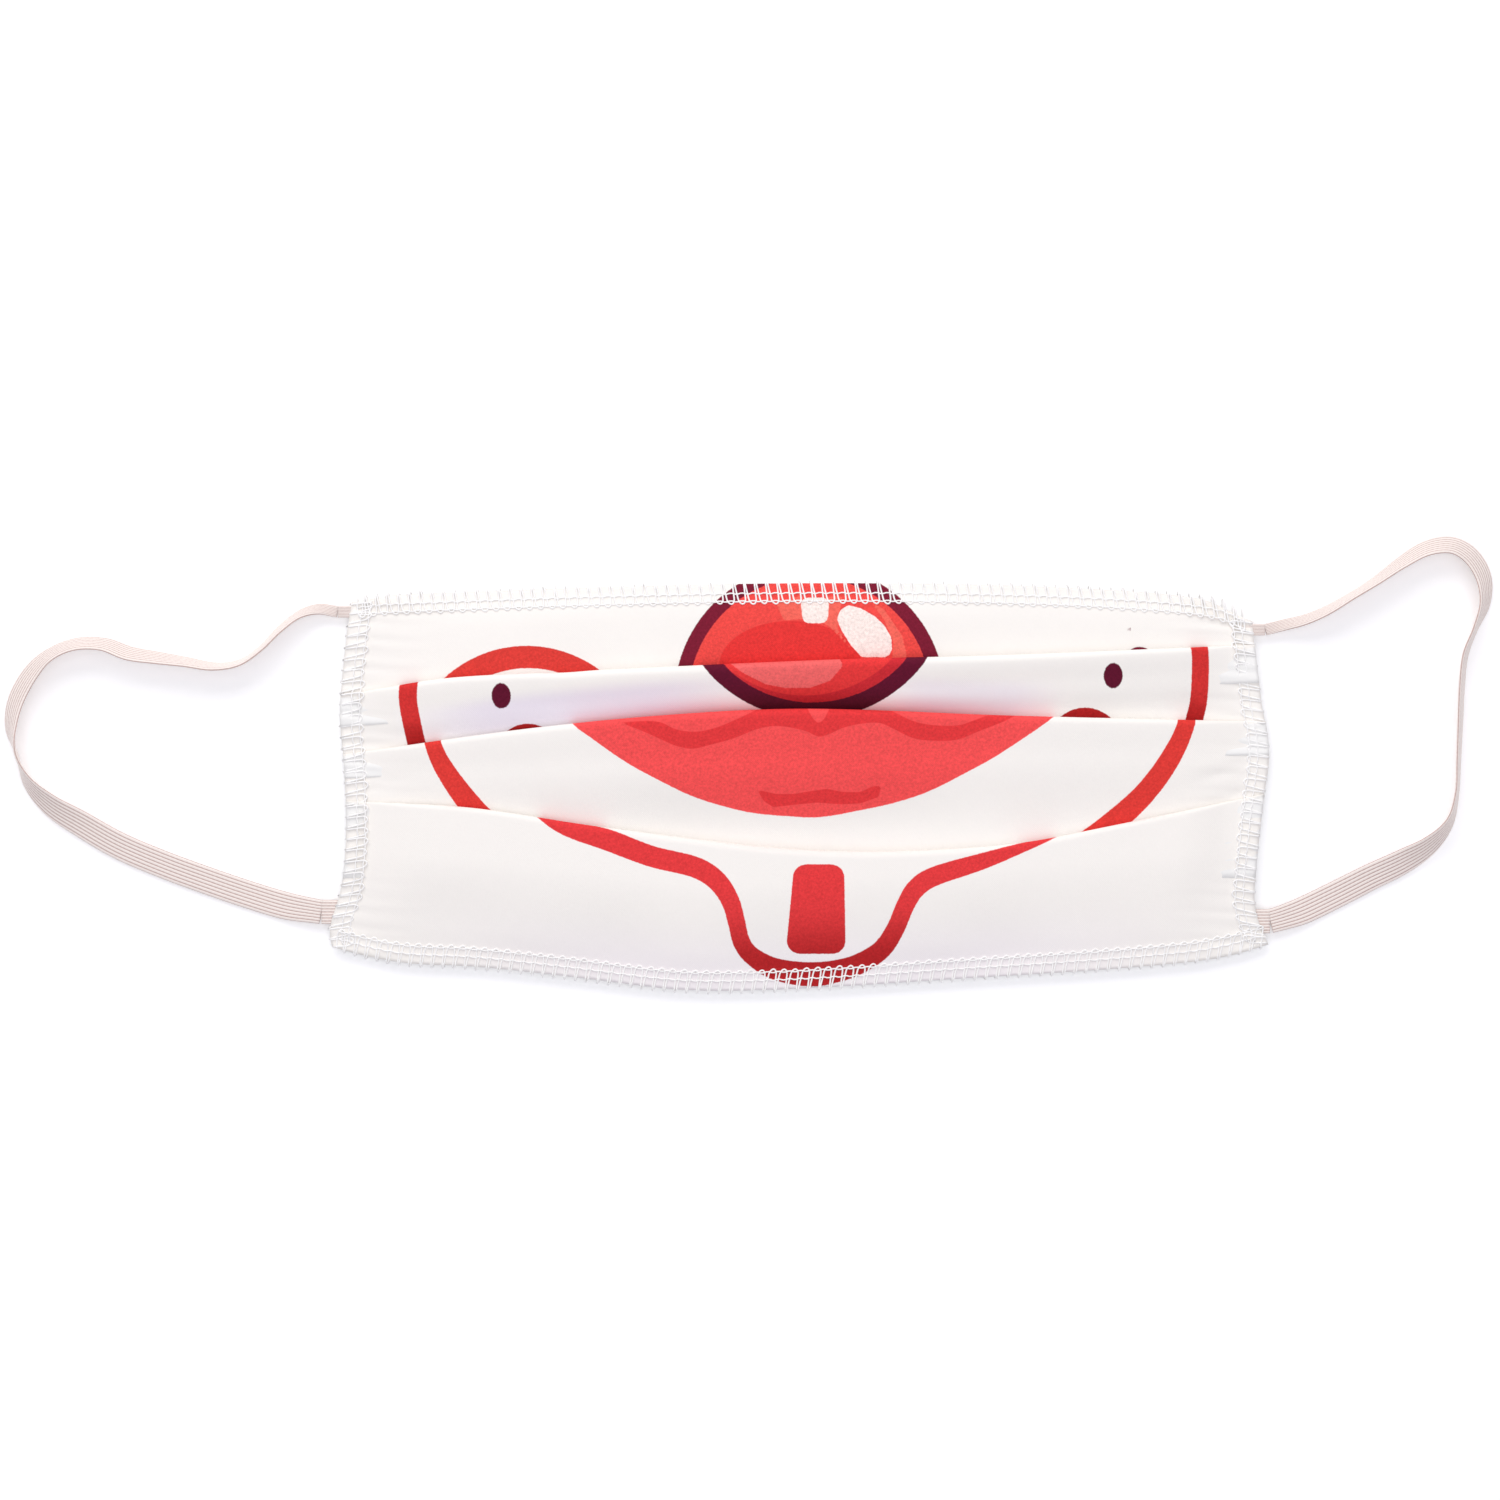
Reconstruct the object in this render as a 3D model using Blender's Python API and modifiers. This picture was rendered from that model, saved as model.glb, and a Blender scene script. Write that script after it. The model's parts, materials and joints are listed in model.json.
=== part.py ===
"""Pleated cloth face mask with two flat elastic ear loops, lying flat with its printed face up.

Metres, +Z up. +Y points to the edge worn over the nose. The origin is under the middle of the mask, on the
surface that it lies on. The mask is two plies, an outer fabric and a lining, laid in three knife pleats and
overlocked all round. The ends of each ear elastic are caught between the plies, under the side overlocks.
"""

import math

import bmesh
import bpy

MM = 0.001

# The visible panels, measured down the middle of the mask.
WIDTH = 205.2 * MM  # between the widest points of the two side edges
UPPER_PANEL = 17.6 * MM  # top edge to the fold of the upper pleat
STRIP_PANEL = 10.3 * MM  # that fold to the fold of the middle pleat
MIDDLE_PANEL = 30.6 * MM  # that fold to the fold of the chin pleat
CHIN_PANEL = 31.2 * MM  # that fold to the bottom edge
MIDDLE_PLEAT_DEPTH = 12.3 * MM
CHIN_PLEAT_DEPTH = 6.0 * MM
PLEAT_END_ROOM = 6.0 * MM  # from a side overlock to the end of a pleat
FOLD_STEP = 1.2 * MM  # from the fold of the middle pleat up to the back of the upper one

# Cloth, thread and elastic.
PLY = 0.3 * MM
GAP = 0.25 * MM  # air between plies that lie on each other
FOLD_AIR = 0.3 * MM  # inside a pleat, between its two linings
THREAD = 0.3 * MM  # thickness of the overlock threads
BITE = 5.0 * MM  # how far an overlock reaches in from the raw edge
ELASTIC_WIDTH = 6.0 * MM
ELASTIC_THICKNESS = 0.8 * MM
TAB_INSIDE = 9.0 * MM  # length of elastic caught between the plies
TAB_OUTSIDE = 2.0 * MM  # how far it stands out of the overlock
SLOT_CLEARANCE = 0.2 * MM
LOOP_END_GAP = 1.4 * MM  # from a tab to the loop that hangs from it, whose end may be a little askew
JOINT_GAP = 0.3 * MM

EDGE_ROOM = THREAD + JOINT_GAP  # from a raw edge as drawn to the cut edges of the plies inside its overlock

COLUMNS = 28  # faces across the mask
PANEL_ROWS = 6  # faces up a panel
NOSE_STEPS = 4  # faces round the folded edge of a pleat

# Each edge or fold is a smooth curve through (share of its run, offset). The top and bottom edges and the
# folds run from -1 at the left to 1 at the right, and their offsets are up from the middle of the line. The
# side edges run from 0 at the bottom corner to 1 at the top one, with offsets in from the widest point.
TOP_EDGE = [(-1, -2.9), (-0.42, -0.8), (0, 0), (0.43, -0.4), (0.75, -1.9), (0.9, -3.7), (1, -7.0)]
BOTTOM_EDGE = [
    (-1, 9.6), (-0.85, 6.1), (-0.7, 5.4), (-0.5, 3.2), (-0.2, 0), (0.35, 2.8), (0.86, 6.8), (1, 10.4),
]
LEFT_EDGE = [(0, 0.8), (0.06, 0), (0.15, 2.5), (0.3, 3.9), (0.5, 3.5), (0.66, 2.5), (0.87, 3.8), (1, 5.3)]
RIGHT_EDGE = [(0, 0), (0.1, 3.2), (0.25, 2.9), (0.44, 1.4), (0.58, 0.2), (0.8, 2.5), (1, 4.0)]
UPPER_FOLD = [(-1, -5.7), (-0.85, -3.6), (-0.46, -1.8), (0.09, 0.4), (0.48, 1.3), (1, 3.2)]
MIDDLE_FOLD = [(-1, -8.6), (-0.68, -4.6), (-0.35, -1.6), (0, 0), (0.5, -1.5), (1, -2.6)]
CHIN_FOLD = [(-1, 10.1), (-0.8, 9.1), (-0.47, 4.7), (0.05, -0.3), (0.5, 1.0), (0.77, 5.5), (1, 9.9)]
UPPER_HINGE_SLOPE = 0.047
MIDDLE_HINGE_SLOPE = 0.025

# Where the elastics leave the side edges, from a corner to the middle of the elastic.
TOP_LEFT_DROP = 3.7 * MM
TOP_RIGHT_DROP = 3.5 * MM
BOTTOM_LEFT_RISE = 8.0 * MM
BOTTOM_RIGHT_RISE = 5.2 * MM

# Routes of the loops, chosen by eye: mm out from and up from the upper exit, and the angle in degrees between
# the elastic's face and the surface it lies on. The last point is the lower exit.
LEFT_LOOP = [
    (0, 0, 0), (4, 0.6, 12), (8, -0.6, 35), (12, -3.8, 60), (16, -8.0, 74), (20.5, -11.1, 76),
    (26, -11.9, 72), (32, -10.9, 66), (38, -10.0, 62),
    (44, -9.0, 60), (49.5, -7.0, 58), (55.5, -7.0, 56), (60.8, -9.2, 56),
    (64.9, -13.2, 60), (68, -19.0, 66), (68.9, -25.0, 74), (67.5, -31.0, 86), (64.9, -37.0, 64),
    (60, -42.0, 34), (53.5, -46.0, 16), (45, -50.8, 8), (35, -55.0, 4), (25, -58.6, 2), (16, -61.6, 0),
    (8, -63.9, 0), (0, -65.2, 0),
]
RIGHT_LOOP = [
    (0, 0, 0), (4, 1.0, 12), (8.5, 2.1, 35), (13, 4.0, 58), (18, 6.9, 70), (23.5, 10.3, 70), (29, 14.2, 64),
    (34.5, 17.4, 58), (40, 18.2, 56), (44.5, 15.9, 58), (47.6, 11.3, 64), (48.0, 5.6, 72), (45.5, -0.2, 78),
    (43.0, -6.0, 80), (42.0, -13.0, 80), (41.6, -21.0, 80), (41.2, -29.0, 80), (40.8, -36.0, 78),
    (39.2, -42.4, 66), (35, -47.4, 42), (29, -51.2, 20), (22, -54.6, 10), (15, -58.2, 4), (8, -61.6, 0),
    (3.5, -63.2, 0), (0, -64.2, 0),
]
LOOP_SPACING = 3.0 * MM  # between points of the finished elastic
FLOOR_CLEARANCE = 0.05 * MM

OUTER_COLOUR = (0.90, 0.88, 0.85, 1)
LINING_COLOUR = (0.93, 0.93, 0.92, 1)
THREAD_COLOUR = (0.92, 0.91, 0.90, 1)
ELASTIC_COLOUR = (0.82, 0.70, 0.67, 1)

# Heights of the stack above the surface.
LINING_Z = THREAD + GAP
TAB_Z = LINING_Z + PLY + GAP
OUTER_Z = TAB_Z + ELASTIC_THICKNESS + GAP
OVERLOCK_TOP = OUTER_Z + PLY + GAP + THREAD
PLEAT_Z = OUTER_Z + PLY + GAP
PLEAT_TOP = PLEAT_Z + 4 * PLY + 2 * GAP + FOLD_AIR
ELASTIC_Z = TAB_Z + ELASTIC_THICKNESS / 2

HALF = WIDTH / 2
TOP_Y = (UPPER_PANEL + STRIP_PANEL + MIDDLE_PANEL + CHIN_PANEL) / 2
UPPER_FOLD_Y = TOP_Y - UPPER_PANEL
MIDDLE_FOLD_Y = UPPER_FOLD_Y - STRIP_PANEL
CHIN_FOLD_Y = MIDDLE_FOLD_Y - MIDDLE_PANEL
BOTTOM_Y = CHIN_FOLD_Y - CHIN_PANEL
PLEAT_HALF = HALF - BITE - PLEAT_END_ROOM


def curve_through(points, at):
    """The height at one place on a smooth curve through (place, height) points, in the points' own units."""
    last = len(points) - 1
    i = max(j for j in range(last) if j == 0 or at >= points[j][0])

    def slope(j):
        a, b = points[max(j - 1, 0)], points[min(j + 1, last)]
        return (b[1] - a[1]) / (b[0] - a[0])

    (x0, y0), (x1, y1) = points[i], points[i + 1]
    run = x1 - x0
    t = min(max((at - x0) / run, 0), 1)
    rise = y0 * (1 + 2 * t) * (1 - t) ** 2 + y1 * t * t * (3 - 2 * t)
    return rise + run * (slope(i) * t * (1 - t) ** 2 - slope(i + 1) * t * t * (1 - t))


def top_edge(x):
    return TOP_Y + curve_through(TOP_EDGE, x / HALF) * MM


def bottom_edge(x):
    return BOTTOM_Y + curve_through(BOTTOM_EDGE, x / HALF) * MM


def upper_fold(x):
    return UPPER_FOLD_Y + curve_through(UPPER_FOLD, x / PLEAT_HALF) * MM


def middle_fold(x):
    return MIDDLE_FOLD_Y + curve_through(MIDDLE_FOLD, x / PLEAT_HALF) * MM


def chin_fold(x):
    return CHIN_FOLD_Y + curve_through(CHIN_FOLD, x / PLEAT_HALF) * MM


def upper_hinge(x):
    return MIDDLE_FOLD_Y + FOLD_STEP + UPPER_HINGE_SLOPE * x


def middle_hinge(x):
    return MIDDLE_FOLD_Y - MIDDLE_PLEAT_DEPTH + MIDDLE_HINGE_SLOPE * x


def chin_hinge(x):
    return CHIN_FOLD_Y - CHIN_PLEAT_DEPTH


def side_edge(side, y):
    """The raw edge at this height: side is -1 for the left and 1 for the right."""
    low, high = bottom_edge(side * HALF), top_edge(side * HALF)
    shape = LEFT_EDGE if side < 0 else RIGHT_EDGE
    return side * (HALF - curve_through(shape, (y - low) / (high - low)) * MM)


def clear_scene():
    for thing in list(bpy.data.objects):
        bpy.data.objects.remove(thing, do_unlink=True)


def new_collection(name):
    collection = bpy.data.collections.new(name)
    bpy.context.scene.collection.children.link(collection)
    return collection


def cloth_material(name, colour, roughness):
    material = bpy.data.materials.new(name)
    material.use_nodes = True
    shader = material.node_tree.nodes["Principled BSDF"]
    shader.inputs["Base Color"].default_value = colour
    shader.inputs["Roughness"].default_value = roughness
    shader.inputs["Metallic"].default_value = 0
    return material


def pivot_empty(name, place):
    """The empty that a moving piece hangs from, on its joint's axis."""
    empty = bpy.data.objects.new(name, None)
    empty.location = place
    parts.objects.link(empty)
    return empty


def sheet_object(name, across, along, place, thickness, material, parent=None):
    """A solid made from a grid: place(u, v) gives each point of its outer face, for u and v from 0 to 1."""
    mesh = bpy.data.meshes.new(name)
    grid = bmesh.new()
    bmesh.ops.create_grid(grid, x_segments=across, y_segments=along, size=0.5)
    origin = parent.location if parent else (0, 0, 0)
    for vertex in grid.verts:
        point = place(vertex.co.x + 0.5, vertex.co.y + 0.5)
        vertex.co = [a - b for a, b in zip(point, origin)]
    bmesh.ops.recalc_face_normals(grid, faces=grid.faces)
    top = max(grid.faces, key=lambda face: face.calc_center_median().z)
    if top.normal.z < 0:
        bmesh.ops.reverse_faces(grid, faces=grid.faces)
    grid.to_mesh(mesh)
    grid.free()
    made = bpy.data.objects.new(name, mesh)
    mesh.materials.append(material)
    made.parent = parent
    parts.objects.link(made)
    wall = made.modifiers.new("ply", "SOLIDIFY")
    wall.thickness = thickness
    wall.offset = -1
    wall.use_even_offset = True
    return made


def panel_ply(name, upper, lower, z, material):
    """One ply of one panel, between an upper and a lower line, cut to the side edges."""

    def place(u, v):
        x = (2 * u - 1) * HALF
        y = lower(x) + v * (upper(x) - lower(x))
        reach = abs(side_edge(-1 if x < 0 else 1, y)) - EDGE_ROOM
        return x / HALF * reach, y, z + PLY

    return sheet_object(name, COLUMNS, PANEL_ROWS, place, PLY, material)


def below(line):
    return lambda x: line(x) - JOINT_GAP / 2


def above(line):
    return lambda x: line(x) + JOINT_GAP / 2


def inside_top(x):
    return top_edge(x) - EDGE_ROOM


def inside_bottom(x):
    return bottom_edge(x) + EDGE_ROOM


def overlock(name, rail, across, inward, material):
    """Threads on the lining, over the raw edge and on the outer fabric. rail(u) is the raw edge."""
    section = [(BITE, 0), (0, 0), (0, OVERLOCK_TOP), (BITE, OVERLOCK_TOP)]

    def place(u, v):
        x, y = rail(u)
        reach, z = section[round(v * 3)]
        return x + inward[0] * reach, y + inward[1] * reach, z

    return sheet_object(name, across, 3, place, THREAD, material)


def pleat_ply(name, hinge, fold, inset, material, parent):
    """One ply of a pleat: back under the fold, round its edge and forward on top, lying inset deep."""
    low, high = PLEAT_Z + inset, PLEAT_TOP - inset
    radius = (high - low) / 2
    turns = [math.pi * (i / NOSE_STEPS - 0.5) for i in range(NOSE_STEPS + 1)]
    nose = [(radius * (math.cos(a) - 1), (low + high) / 2 + radius * math.sin(a)) for a in turns]

    def place(u, v):
        x = (2 * u - 1) * PLEAT_HALF
        back, tip = hinge(x) + JOINT_GAP, fold(x) - inset
        step = round(v * (NOSE_STEPS + 2))
        if step == 0:
            return x, back, low
        if step == NOSE_STEPS + 2:
            return x, back, high
        return x, tip + nose[step - 1][0], nose[step - 1][1]

    return sheet_object(name, COLUMNS, NOSE_STEPS + 2, place, PLY, material, parent)


def box_object(name, low, high, material=None):
    mesh = bpy.data.meshes.new(name)
    box = bmesh.new()
    bmesh.ops.create_cube(box, size=1)
    middle = [(a + b) / 2 for a, b in zip(low, high)]
    for vertex in box.verts:
        vertex.co = [c * (b - a) for c, a, b in zip(vertex.co, low, high)]
    box.to_mesh(mesh)
    box.free()
    made = bpy.data.objects.new(name, mesh)
    made.location = middle
    if material:
        mesh.materials.append(material)
        parts.objects.link(made)
    else:
        made.hide_render = True
        made.display_type = "WIRE"
        cutters.objects.link(made)
    return made


def elastic_exit(side, y):
    """Where the middle of an elastic leaves the overlock, at the end of its sewn tab."""
    return side_edge(side, y) + side * TAB_OUTSIDE, y


def elastic_tab(name, side, y, material, channel):
    """The end of an elastic, caught between the plies, and its slot through the side overlock."""
    edge = side_edge(side, y)
    ends = sorted((edge - side * TAB_INSIDE, edge + side * TAB_OUTSIDE))
    half = ELASTIC_WIDTH / 2
    low = (ends[0], y - half, TAB_Z)
    high = (ends[1], y + half, TAB_Z + ELASTIC_THICKNESS)
    box_object(name, low, high, material)
    room = SLOT_CLEARANCE
    reach = BITE / 2
    slot = box_object(
        name + "_slot",
        (edge - reach, low[1] - room, low[2] - room),
        (edge + reach, high[1] + room, high[2] + room),
    )
    cut = channel.modifiers.new("slot", "BOOLEAN")
    cut.operation = "DIFFERENCE"
    cut.object = slot


def smooth_route(points, spacing):
    """Points at even steps along a Catmull-Rom curve through these, in any number of dimensions."""
    dense = []
    for i in range(len(points) - 1):
        a, b, c, d = (points[min(max(i + k, 0), len(points) - 1)] for k in (-1, 0, 1, 2))
        for step in range(12):
            t = step / 12
            dense.append([
                q + 0.5 * t * ((r - p) + t * ((2 * p - 5 * q + 4 * r - s) + t * (3 * q - p - 3 * r + s)))
                for p, q, r, s in zip(a, b, c, d)
            ])
    dense.append(list(points[-1]))
    runs = [0]
    for p, q in zip(dense, dense[1:]):
        runs.append(runs[-1] + math.dist(p[:2], q[:2]))
    count = max(round(runs[-1] / spacing), 2)
    even, j = [], 0
    for k in range(count + 1):
        wanted = runs[-1] * k / count
        while j < len(runs) - 2 and runs[j + 1] < wanted:
            j += 1
        t = (wanted - runs[j]) / (runs[j + 1] - runs[j])
        even.append([p + t * (q - p) for p, q in zip(dense[j], dense[j + 1])])
    return even


def ear_loop(name, side, upper_y, lower_y, route, material):
    """A flat elastic from one exit to the other, on edge where it bends and flat where it is slack."""
    start, end = elastic_exit(side, upper_y), elastic_exit(side, lower_y)
    last = route[-1]
    off_x, off_y = end[0] - start[0] - side * last[0] * MM, end[1] - start[1] - last[1] * MM
    placed = []
    for i, (out, up, lie) in enumerate(route):
        share = i / (len(route) - 1)
        x = start[0] + side * out * MM + share * off_x + side * LOOP_END_GAP
        placed.append((x, start[1] + up * MM + share * off_y, math.radians(lie)))
    points = smooth_route(placed, LOOP_SPACING)
    data = bpy.data.curves.new(name, "CURVE")
    data.dimensions = "3D"
    data.twist_mode = "Z_UP"
    data.resolution_u = 1
    data.bevel_resolution = 1
    data.bevel_depth = ELASTIC_THICKNESS / 2
    data.extrude = ELASTIC_WIDTH / 2 - ELASTIC_THICKNESS / 2
    data.use_fill_caps = True
    strand = data.splines.new("POLY")
    strand.points.add(len(points) - 1)
    lengths = [0]
    for p, q in zip(points, points[1:]):
        lengths.append(lengths[-1] + math.dist(p[:2], q[:2]))
    for point, (x, y, lie), run in zip(strand.points, points, lengths):
        resting = (
            math.sin(lie) * ELASTIC_WIDTH / 2 + math.cos(lie) * ELASTIC_THICKNESS / 2 + FLOOR_CLEARANCE
        )
        away = min(run, lengths[-1] - run) / (2 * ELASTIC_WIDTH)
        ease = min(away, 1) ** 2 * (3 - 2 * min(away, 1))
        z = max(ELASTIC_Z + ease * (resting - ELASTIC_Z), resting)
        point.co = (x - start[0], y - start[1], z, 1)
        point.tilt = side * (math.pi / 2 - lie)
    made = bpy.data.objects.new(name, data)
    made.location = (start[0], start[1], 0)
    data.materials.append(material)
    parts.objects.link(made)
    return made


clear_scene()
parts = new_collection("cloth_face_mask")
cutters = new_collection("cutters")
cutters.hide_render = True

outer_cloth = cloth_material("outer_cotton", OUTER_COLOUR, 0.85)
lining_cloth = cloth_material("lining_cotton", LINING_COLOUR, 0.85)
overlock_thread = cloth_material("overlock_thread", THREAD_COLOUR, 0.7)
elastic_braid = cloth_material("braided_elastic", ELASTIC_COLOUR, 0.75)

PANELS = [
    ("upper_panel", inside_top, above(upper_hinge)),
    ("strip_panel", below(upper_hinge), above(middle_hinge)),
    ("middle_panel", below(middle_hinge), above(chin_hinge)),
    ("chin_panel", below(chin_hinge), inside_bottom),
]
for panel, upper, lower in PANELS:
    panel_ply(panel + "_outer", upper, lower, OUTER_Z, outer_cloth)
    panel_ply(panel + "_lining", upper, lower, LINING_Z, lining_cloth)

PLEATS = [
    ("upper_pleat", upper_hinge, upper_fold),
    ("middle_pleat", middle_hinge, middle_fold),
    ("chin_pleat", chin_hinge, chin_fold),
]
for pleat, hinge, fold in PLEATS:
    pivot = pivot_empty(pleat + "_hinge", (0, hinge(0), PLEAT_TOP))
    pleat_ply(pleat + "_outer", hinge, fold, 0, outer_cloth, pivot)
    pleat_ply(pleat + "_lining", hinge, fold, PLY + GAP, lining_cloth, pivot)


def side_rail(side):
    low, high = bottom_edge(side * HALF), top_edge(side * HALF)

    def rail(u):
        y = low + u * (high - low)
        return side_edge(side, y), y

    return rail


def long_rail(edge, inward):
    """The top or bottom raw edge, between the furthest that the two side overlocks come in beside it."""
    steps = [inward * 2 * BITE * i / 8 for i in range(9)]
    ends = [
        side * (min(abs(side_edge(side, edge(side * HALF) + step)) for step in steps) - BITE - JOINT_GAP)
        for side in (-1, 1)
    ]

    def rail(u):
        x = ends[0] + u * (ends[1] - ends[0])
        return x, edge(x)

    return rail


overlock("top_overlock", long_rail(top_edge, -1), COLUMNS, (0, -1), overlock_thread)
overlock("bottom_overlock", long_rail(bottom_edge, 1), COLUMNS, (0, 1), overlock_thread)
left_overlock = overlock("left_overlock", side_rail(-1), COLUMNS, (1, 0), overlock_thread)
right_overlock = overlock("right_overlock", side_rail(1), COLUMNS, (-1, 0), overlock_thread)

LOOPS = [
    ("left", -1, left_overlock, TOP_LEFT_DROP, BOTTOM_LEFT_RISE, LEFT_LOOP),
    ("right", 1, right_overlock, TOP_RIGHT_DROP, BOTTOM_RIGHT_RISE, RIGHT_LOOP),
]
for word, side, channel, drop, rise, route in LOOPS:
    upper_y, lower_y = top_edge(side * HALF) - drop, bottom_edge(side * HALF) + rise
    elastic_tab(word + "_upper_tab", side, upper_y, elastic_braid, channel)
    elastic_tab(word + "_lower_tab", side, lower_y, elastic_braid, channel)
    ear_loop(word + "_ear_elastic", side, upper_y, lower_y, route, elastic_braid)
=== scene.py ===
"""A pleated cloth face mask with flat elastic ear loops, laid face up, with its print and stitching."""

import json
import math

import bpy
import numpy as np
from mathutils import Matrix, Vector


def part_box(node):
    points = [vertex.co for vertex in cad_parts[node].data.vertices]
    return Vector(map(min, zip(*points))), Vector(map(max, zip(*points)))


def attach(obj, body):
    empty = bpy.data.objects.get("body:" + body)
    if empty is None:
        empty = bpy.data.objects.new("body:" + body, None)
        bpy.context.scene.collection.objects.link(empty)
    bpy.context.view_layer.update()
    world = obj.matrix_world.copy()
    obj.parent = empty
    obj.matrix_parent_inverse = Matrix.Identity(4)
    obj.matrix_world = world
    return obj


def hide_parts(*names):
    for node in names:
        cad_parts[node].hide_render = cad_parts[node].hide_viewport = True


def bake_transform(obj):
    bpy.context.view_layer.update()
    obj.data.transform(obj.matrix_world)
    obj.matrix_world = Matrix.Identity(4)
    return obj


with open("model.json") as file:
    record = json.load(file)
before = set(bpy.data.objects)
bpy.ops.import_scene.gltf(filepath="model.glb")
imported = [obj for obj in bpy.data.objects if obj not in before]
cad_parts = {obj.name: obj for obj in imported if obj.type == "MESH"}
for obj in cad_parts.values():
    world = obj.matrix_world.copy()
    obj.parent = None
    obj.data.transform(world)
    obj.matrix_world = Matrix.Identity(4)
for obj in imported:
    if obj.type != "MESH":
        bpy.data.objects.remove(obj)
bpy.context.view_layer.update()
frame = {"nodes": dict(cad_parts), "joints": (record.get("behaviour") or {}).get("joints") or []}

# Table, light and camera. The mask lies on a plain white table top under soft light that comes mostly from
# past its nose edge, so that the slopes that fall away from there are the darker ones. It is seen from
# straight above.

MM = 0.001
VIEW_CENTRE = (-10.7 * MM, 8.1 * MM)
VIEW_SIDE = 328 * MM
LENS = 85
SENSOR = 36


def area_light(name, place, aim, size, watts, colour):
    lamp = bpy.data.lights.new(name, "AREA")
    lamp.shape = "RECTANGLE"
    lamp.size, lamp.size_y = size
    lamp.energy = watts
    lamp.color = colour
    made = bpy.data.objects.new(name, lamp)
    bpy.context.scene.collection.objects.link(made)
    made.location = place
    heading = [a - b for a, b in zip(aim, place)]
    flat = math.hypot(heading[0], heading[1])
    turn = math.atan2(heading[1], heading[0]) - math.pi / 2
    made.rotation_euler = (math.atan2(flat, -heading[2]), 0, turn)


def shader_of(name):
    """A new material and its Principled shader."""
    material = bpy.data.materials.new(name)
    material.use_nodes = True
    return material, material.node_tree.nodes["Principled BSDF"]


camera_data = bpy.data.cameras.new("camera")
camera_data.lens = LENS
camera_data.sensor_width = SENSOR
camera_data.clip_start = 0.01
camera = bpy.data.objects.new("camera", camera_data)
camera.location = (*VIEW_CENTRE, VIEW_SIDE * LENS / SENSOR)
bpy.context.scene.collection.objects.link(camera)
bpy.context.scene.camera = camera
bpy.context.scene.view_settings.view_transform = "Standard"

area_light("window", (-0.15, 0.75, 0.55), (0, 0, 0), (1.1, 0.6), 5.4, (1.0, 0.985, 0.96))
area_light("ceiling", (0.05, -0.25, 1.3), (0, 0, 0), (1.6, 1.6), 6.4, (0.97, 0.98, 1.0))

world = bpy.data.worlds.new("room")
world.use_nodes = True
room_light = world.node_tree.nodes["Background"]
room_light.inputs["Color"].default_value = (0.93, 0.92, 1.0, 1)
room_light.inputs["Strength"].default_value = 0.54
bpy.context.scene.world = world

bpy.ops.mesh.primitive_plane_add(size=6, location=(0, 0, -0.0002))
table_top = bpy.context.object
table_top.name = "table_top"
table_white, table_shader = shader_of("table_white")
table_shader.inputs["Base Color"].default_value = (0.98, 0.98, 0.98, 1)
table_shader.inputs["Roughness"].default_value = 0.9
table_shader.inputs["Emission Color"].default_value = (1, 1, 1, 1)
table_shader.inputs["Emission Strength"].default_value = 0.14
table_top.data.materials.append(table_white)


# Ear elastics. Flat braided elastic, 6 mm wide, with fine lengthwise ribs. Each loop is one length whose two
# ends are sewn into a side seam. It lies on its face where it is slack and stands on edge round its bends.

ELASTIC_WIDTH = 6.0
ELASTIC_THICKNESS = 0.8
VALLEY, CREST = 0.26, 0.14  # half the thickness between two ribs, and what a rib adds to it
RIBS = 8
BRAID_PITCH = 1.15
RING_STEP = 0.45
GATHER = 9.0  # how far from a seam the elastic is still bunched by its stitches

# Routes, listed as mm out from and up from the upper sewn end, and the angle in degrees between the
# elastic's face and the table.
LEFT_LOOP = [
    (0, 0, 0), (4, 0.6, 40), (8, -0.6, 64), (12, -3.8, 72), (16, -8.0, 76), (20.5, -11.1, 76),
    (26, -11.9, 74), (32, -10.9, 70), (38, -10.0, 64), (44, -9.0, 60), (49.5, -7.0, 62),
    (55.5, -7.0, 62), (60.8, -9.2, 58), (64.9, -13.2, 46), (68, -19.0, 44), (68.9, -25.0, 56),
    (67.5, -31.0, 82), (64.9, -37.0, 60), (60, -42.0, 34), (53.5, -46.0, 16), (45, -50.8, 8),
    (35, -55.0, 4), (25, -58.6, 2), (16, -61.6, 0), (8, -63.9, 0), (0, -65.2, 0),
]
RIGHT_LOOP = [
    (0, 0, 0), (4, 1.0, 36), (8.5, 2.1, 60), (13, 4.0, 72), (18, 6.9, 78), (23.5, 10.3, 76),
    (29, 14.2, 68), (34.5, 17.4, 58), (40, 18.2, 48), (44.3, 15.9, 42), (47.0, 11.3, 44),
    (47.2, 5.6, 58), (45.0, -0.2, 72), (42.8, -6.0, 70), (42.0, -13.0, 70), (41.6, -21.0, 71),
    (41.2, -29.0, 73), (40.8, -36.0, 74), (39.2, -42.4, 64), (35, -47.4, 42), (29, -51.2, 20),
    (22, -54.6, 10), (15, -58.2, 4), (8, -61.6, 0), (3.5, -63.2, 0), (0, -64.2, 0),
]

SEWN_DEEP = 9.0  # how far an end reaches in under its seam
HINGE_OUT = 0.8  # from the end of a tab to the line that its loop swings about
UPPER_WIDTH, LOWER_WIDTH = 0.42, 0.88  # share of the elastic's width left where its stitches gather it


def linear(red, green, blue):
    """A colour given as 0 to 255 display values, as the linear colour that a shader takes."""
    return (*(((c / 255 + 0.055) / 1.055) ** 2.4 for c in (red, green, blue)), 1)


def add_node(tree, kind, **values):
    made = tree.nodes.new(kind)
    for key, value in values.items():
        setattr(made, key, value)
    return made


def smoothstep(low, high, value):
    t = np.clip((np.asarray(value, float) - low) / (high - low), 0, 1)
    return t * t * (3 - 2 * t)


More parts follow.
